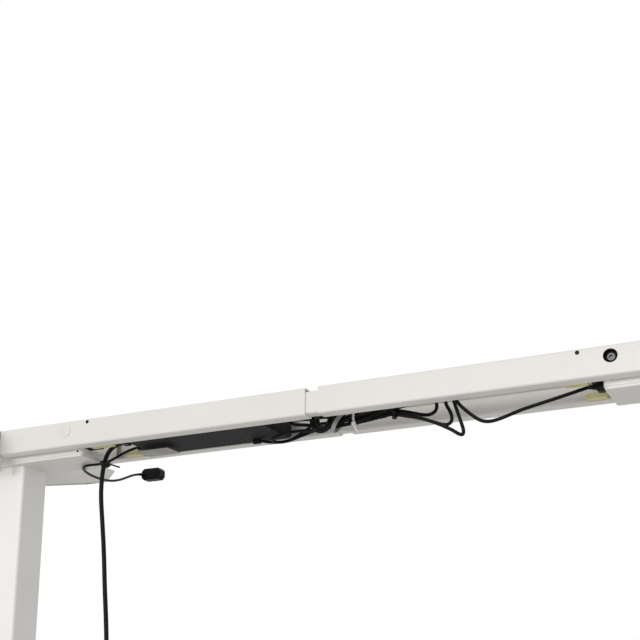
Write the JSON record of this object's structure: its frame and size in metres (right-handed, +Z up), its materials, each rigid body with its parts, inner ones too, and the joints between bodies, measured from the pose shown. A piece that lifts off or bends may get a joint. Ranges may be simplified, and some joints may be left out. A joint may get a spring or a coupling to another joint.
{
  "type": "electric lifting frame with two column actuators",
  "caption": "Free-standing lifting frame: telescopic spindle-driven columns on T-feet under a telescopic beam, with motors, control box, handset, cables and tabletop arms.",
  "frame": {"origin": "on the floor, midway between the two columns", "axes": "+X along the beam, +Y towards the user with the handset, +Z up"},
  "size_m": [1.236, 0.6, 0.688],
  "materials": {
    "white_paint": "satin powder coat, warm white",
    "plain_steel": "bright zinc-plated steel",
    "nylon": "natural nylon, slightly yellow",
    "dark_nylon": "black nylon",
    "gear_case": "die-cast, matt",
    "bronze": "machined",
    "black_case": "moulded, fine texture",
    "black_plug": "moulded",
    "cord": "soft PVC sheath",
    "white_cap": "moulded",
    "rubber_pad": "matt",
    "button_grey": "moulded"
  },
  "bodies": {
    "left_base": {"left_inner_tube": "white_paint", "left_upper_glide": "dark_nylon", "left_spindle_nut": "bronze", "left_foot": "white_paint", "left_levellers": "rubber_pad", "mains_cord_coil": "cord", "mains_plug": "black_plug"},
    "beam_left": {"cable_hank": "cord", "cable_ties": "black_plug", "control_box_base": "black_case", "control_box_lid": "black_case", "front_inner_rail": "white_paint", "handset_case": "black_case", "handset_cord": "cord", "hole_plug": "white_cap", "left_arm": "white_paint", "left_cable_plugs": "black_plug", "left_front_rail": "white_paint", "left_gearbox_case": "gear_case", "left_gearbox_lid": "gear_case", "left_head": "white_paint", "left_head_screws": "plain_steel", "left_lower_glide": "dark_nylon", "left_motor": "plain_steel", "left_motor_cable": "cord", "left_motor_cover": "white_paint", "left_outer_tube": "white_paint", "left_rear_rail": "white_paint", "left_spindle_bearing": "plain_steel", "mains_cord_drop": "cord", "rail_glides": "nylon", "rear_inner_rail": "white_paint", "right_motor_cable": "cord", "thin_cable": "cord"},
    "left_spindle_body": {"left_spindle": "plain_steel", "left_worm_wheel": "bronze"},
    "left_worm_body": {"left_worm_shaft": "plain_steel"},
    "up_key": {"up_button": "button_grey"},
    "down_key": {"down_button": "button_grey"},
    "beam_right": {"right_arm": "white_paint", "right_front_rail": "white_paint", "right_gearbox_case": "gear_case", "right_gearbox_lid": "gear_case", "right_head": "white_paint", "right_head_screws": "plain_steel", "right_lower_glide": "dark_nylon", "right_motor": "plain_steel", "right_motor_cover": "white_paint", "right_motor_plug": "black_plug", "right_outer_tube": "white_paint", "right_rear_rail": "white_paint", "right_spindle_bearing": "plain_steel"},
    "right_spindle_body": {"right_spindle": "plain_steel", "right_worm_wheel": "bronze"},
    "right_worm_body": {"right_worm_shaft": "plain_steel"},
    "right_base": {"right_inner_tube": "white_paint", "right_upper_glide": "dark_nylon", "right_spindle_nut": "bronze", "right_foot": "white_paint", "right_levellers": "rubber_pad"}
  },
  "joints": [
    {"name": "left_lift", "type": "slide", "parent": "left_base", "child": "beam_left", "axis": [0, 0, 1], "range_m": [0, 0.45]},
    {"name": "width", "type": "slide", "parent": "beam_left", "child": "beam_right", "axis": [1, 0, 0], "range_m": [0, 0.3]},
    {"name": "right_lift", "type": "slide", "parent": "beam_right", "child": "right_base", "axis": [0, 0, -1], "range_m": [0, 0.45]},
    {"name": "left_spindle_turn", "type": "hinge", "parent": "beam_left", "child": "left_spindle_body", "pos_m": [-0.57, 0, 0.6], "axis": [0, 0, 1], "range_deg": [0, 10126]},
    {"name": "right_spindle_turn", "type": "hinge", "parent": "beam_right", "child": "right_spindle_body", "pos_m": [0.57, 0, 0.6], "axis": [0, 0, 1], "range_deg": [0, 10126]},
    {"name": "left_worm_turn", "type": "hinge", "parent": "beam_left", "child": "left_worm_body", "pos_m": [-0.57, -0.021, 0.662], "axis": [1, 0, 0], "range_deg": [-202520, 0]},
    {"name": "right_worm_turn", "type": "hinge", "parent": "beam_right", "child": "right_worm_body", "pos_m": [0.57, -0.021, 0.662], "axis": [1, 0, 0], "range_deg": [-202520, 0]},
    {"name": "up_press", "type": "slide", "parent": "beam_left", "child": "up_key", "axis": [0, -1, 0], "range_m": [0, 0.0012], "stiffness_N_per_m": 400},
    {"name": "down_press", "type": "slide", "parent": "beam_left", "child": "down_key", "axis": [0, -1, 0], "range_m": [0, 0.0012], "stiffness_N_per_m": 400}
  ],
  "couplings": [
    {"joint": "right_lift", "follows": "left_lift", "ratio": 1},
    {"joint": "left_spindle_turn", "follows": "left_lift", "rad_per_m": 392.7},
    {"joint": "right_spindle_turn", "follows": "left_lift", "rad_per_m": 392.7},
    {"joint": "left_worm_turn", "follows": "left_lift", "rad_per_m": -7854},
    {"joint": "right_worm_turn", "follows": "left_lift", "rad_per_m": -7854}
  ]
}
